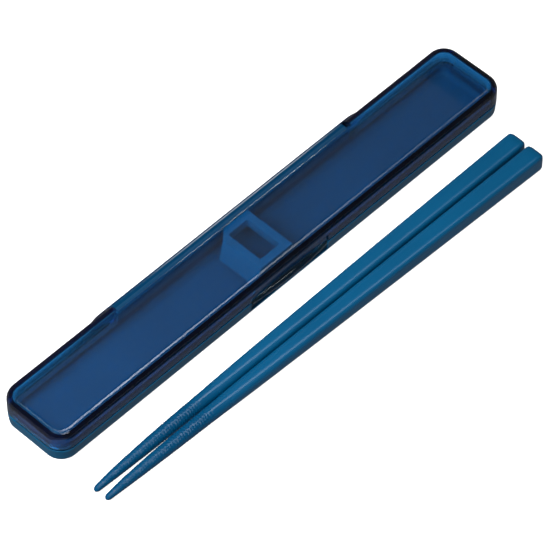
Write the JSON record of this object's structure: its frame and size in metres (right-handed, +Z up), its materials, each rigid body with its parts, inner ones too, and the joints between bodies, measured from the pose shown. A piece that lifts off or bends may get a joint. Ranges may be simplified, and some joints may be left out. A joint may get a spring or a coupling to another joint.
{
  "type": "portable chopstick case",
  "caption": "Slim hard case for chopsticks: an opaque tray, a see-through tinted lid on a rear barrel hinge, a thumb latch lip, a soft hold-down insert, and the chopsticks beside it.",
  "frame": {"origin": "middle of the tray's flat underside, on the surface that the case stands on", "axes": "+X along the case, towards the chopsticks' holding ends; +Y from the latch towards the hinge; +Z up, through the lid"},
  "size_m": [0.1922, 0.054, 0.0124],
  "materials": {
    "tray_plastic": "opaque blue moulded plastic, satin gloss",
    "lid_plastic": "clear moulded plastic tinted navy, polished",
    "insert_elastomer": "soft matt elastomer, mid blue",
    "chopstick_plastic": "blue moulded plastic, satin gloss with fine rings near the tip"
  },
  "bodies": {
    "tray": {"tray": "tray_plastic"},
    "lid": {"lid": "lid_plastic", "hold_down_insert": "insert_elastomer"},
    "chopstick_back": {"chopstick_back": "chopstick_plastic"},
    "chopstick_front": {"chopstick_front": "chopstick_plastic"}
  },
  "joints": [
    {"name": "lid_hinge", "type": "hinge", "parent": "tray", "child": "lid", "pos_m": [0, 0.0127, 0.008], "axis": [-1, 0, 0], "range_deg": [0, 120]},
    {"name": "chopstick_back_lift", "type": "slide", "parent": "tray", "child": "chopstick_back", "axis": [0, 0, 1], "range_m": [0, 0.06]},
    {"name": "chopstick_front_lift", "type": "slide", "parent": "tray", "child": "chopstick_front", "axis": [0, 0, 1], "range_m": [0, 0.06]}
  ]
}
